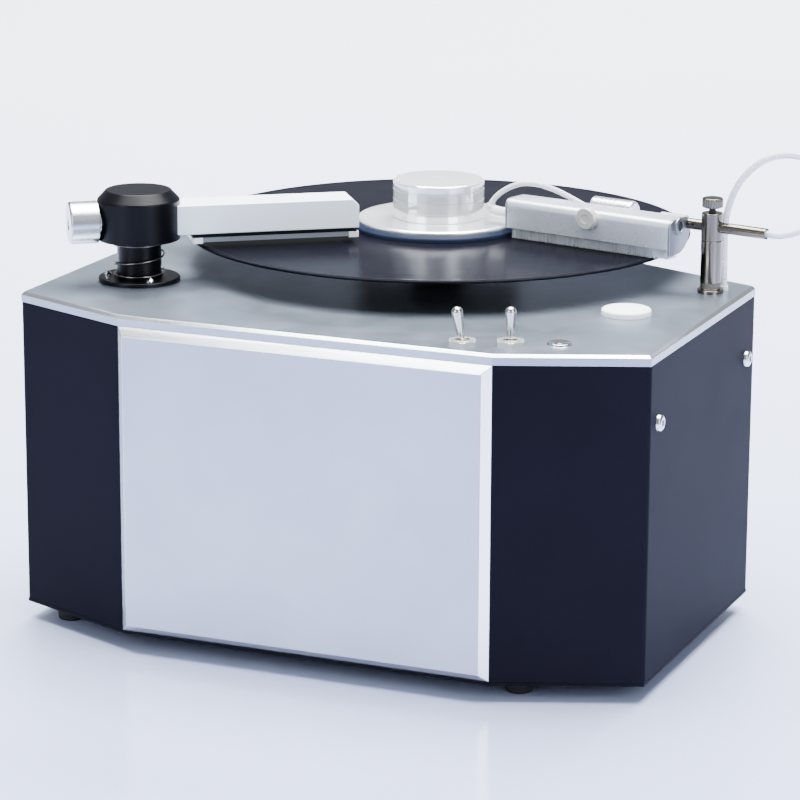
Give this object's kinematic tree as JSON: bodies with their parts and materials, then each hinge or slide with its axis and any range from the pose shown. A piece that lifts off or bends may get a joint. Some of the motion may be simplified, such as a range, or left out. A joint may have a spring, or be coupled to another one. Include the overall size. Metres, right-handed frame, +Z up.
{
  "type": "record cleaning machine",
  "caption": "Eight-sided record cleaning machine with a clamped record on a platter, a sprung suction arm on a column and a wet brush on a post.",
  "frame": {"origin": "on the floor, under the middle of the machine's bounding box with its record and without its hose", "axes": "+X to the machine's right, +Y to its back, +Z up"},
  "size_m": [0.4327, 0.3692, 0.2794],
  "materials": {
    "plate_aluminium": "satin, bead blasted",
    "front_aluminium": "satin anodised",
    "cover_black": "satin black",
    "base_black": "matt black",
    "inner_aluminium": "extruded, plain",
    "bright_steel": "polished",
    "screw_steel": "bright zinc",
    "foot_rubber": "moulded",
    "column_black": "black anodised, turned",
    "bronze": "turned",
    "spring_steel": "drawn wire",
    "arm_aluminium": "light silver, satin",
    "gasket_rubber": "foam",
    "nozzle_grey": "machined",
    "nozzle_white": "machined",
    "weight_steel": "turned and polished",
    "record_vinyl": "grooved",
    "platter_black": "turned",
    "seal_blue": "clear over dark blue",
    "turned_aluminium": "bright turned",
    "pulley_aluminium": "turned",
    "belt_rubber": "ground",
    "motor_grey": "enamel",
    "pump_grey": "moulded",
    "tank_white": "moulded, translucent",
    "board_green": "coated board",
    "switch_black": "moulded",
    "nickel": "nickel plated",
    "lens_clear": "clear",
    "cap_white": "moulded",
    "hose_clear": "clear soft tube",
    "post_steel": "polished stainless",
    "head_aluminium": "satin anodised",
    "end_aluminium": "bright milled",
    "bristle_nylon": "fine translucent bristles"
  },
  "bodies": {
    "case": {"base_plate": "base_black", "front_panel": "front_aluminium", "left_cover": "cover_black", "right_cover": "cover_black", "rear_panel": "cover_black", "top_plate": "plate_aluminium", "corner_posts": "inner_aluminium", "panel_screws": "screw_steel", "feet": "foot_rubber", "column_flange": "column_black", "flange_screws": "screw_steel", "column_bush": "bronze", "column_spring": "spring_steel", "bearing_housing": "bronze", "drive_belt": "belt_rubber", "drive_motor": "motor_grey", "vacuum_pump": "pump_grey", "suction_duct": "belt_rubber", "waste_tank": "tank_white", "fluid_tank": "tank_white", "fluid_pump": "pump_grey", "control_board": "board_green", "toggle_bodies": "switch_black", "toggle_nuts": "nickel", "lamp_bezel": "bright_steel", "lamp_lens": "lens_clear", "power_socket": "switch_black", "drain_fitting": "nozzle_white", "hose_fitting": "nozzle_white", "fluid_hose": "hose_clear", "brush_post": "post_steel"},
    "carriage": {"spring_seat": "switch_black"},
    "arm": {"suction_column": "column_black", "arm_hub": "column_black", "suction_tube": "arm_aluminium", "nozzle_gasket": "gasket_rubber", "nozzle_bar": "nozzle_grey", "nozzle_ends": "nozzle_white", "counterweight": "weight_steel"},
    "platter": {"spindle": "bright_steel", "platter": "platter_black", "record": "record_vinyl", "seal_ring": "seal_blue", "label_disc": "turned_aluminium", "platter_pulley": "pulley_aluminium"},
    "clamp": {"clamp_puck": "turned_aluminium"},
    "motor_rotor": {"motor_pulley": "pulley_aluminium"},
    "swivel": {"swivel_block": "post_steel"},
    "swivel_clamp": {"swivel_screw": "screw_steel"},
    "rod": {"brush_rod": "post_steel"},
    "brush": {"brush_housing": "head_aluminium", "end_plates": "end_aluminium", "bristles": "bristle_nylon", "dosing_cylinder": "turned_aluminium", "dosing_elbow": "nozzle_white", "brush_hose": "hose_clear"},
    "knob": {"brush_knob": "nickel"},
    "left_switch": {"left_lever": "nickel"},
    "right_switch": {"right_lever": "nickel"},
    "filler": {"filler_cap": "cap_white"}
  },
  "joints": [
    {"name": "column_dip", "type": "slide", "parent": "case", "child": "carriage", "axis": [0, 0, 1], "range_m": [-0.0026, 0], "stiffness_N_per_m": 3000, "springref_m": 0.004, "deforming": ["column_spring"]},
    {"name": "arm_swing", "type": "hinge", "parent": "carriage", "child": "arm", "pos_m": [-0.14939, -0.0933, 0.196], "axis": [0, 0, 1], "range_deg": [-80, 6]},
    {"name": "platter_spin", "type": "hinge", "parent": "case", "child": "platter", "pos_m": [-0.01389, 0.0341, 0.196], "axis": [0, 0, 1], "continuous": true},
    {"name": "motor_spin", "type": "hinge", "parent": "case", "child": "motor_rotor", "pos_m": [-0.01389, -0.0399, 0.156], "axis": [0, 0, 1], "continuous": true},
    {"name": "clamp_lift", "type": "slide", "parent": "platter", "child": "clamp", "axis": [0, 0, 1], "range_m": [0, 0.03]},
    {"name": "brush_swing", "type": "hinge", "parent": "case", "child": "swivel", "pos_m": [0.16471, 0.0107, 0.2265], "axis": [0, 0, 1], "range_deg": [0, 85], "deforming": ["fluid_hose"]},
    {"name": "swivel_screw_turn", "type": "hinge", "parent": "swivel", "child": "swivel_clamp", "pos_m": [0.16471, 0.0107, 0.245], "axis": [0, 0, 1], "range_deg": [-180, 180]},
    {"name": "brush_reach", "type": "slide", "parent": "swivel", "child": "rod", "axis": [0.9781, -0.2079, 0], "range_m": [-0.0005, 0.007]},
    {"name": "brush_tilt", "type": "hinge", "parent": "rod", "child": "brush", "pos_m": [0.14955, 0.01392, 0.2344], "axis": [-0.9781, 0.2079, 0], "range_deg": [0, 80]},
    {"name": "knob_turn", "type": "hinge", "parent": "brush", "child": "knob", "pos_m": [0.09189, 0.00481, 0.2344], "axis": [-0.2079, -0.9781, 0], "range_deg": [-180, 180]},
    {"name": "left_toggle", "type": "hinge", "parent": "case", "child": "left_switch", "pos_m": [0.08072, -0.16225, 0.195], "axis": [0.3744, -0.9272, 0], "range_deg": [0, 18]},
    {"name": "right_toggle", "type": "hinge", "parent": "case", "child": "right_switch", "pos_m": [0.10483, -0.15251, 0.195], "axis": [0.3744, -0.9272, 0], "range_deg": [-9, 9]},
    {"name": "filler_lift", "type": "slide", "parent": "case", "child": "filler", "axis": [0, 0, 1], "range_m": [0, 0.015]}
  ],
  "couplings": [
    {"joint": "motor_spin", "follows": "platter_spin", "ratio": 2.5}
  ]
}
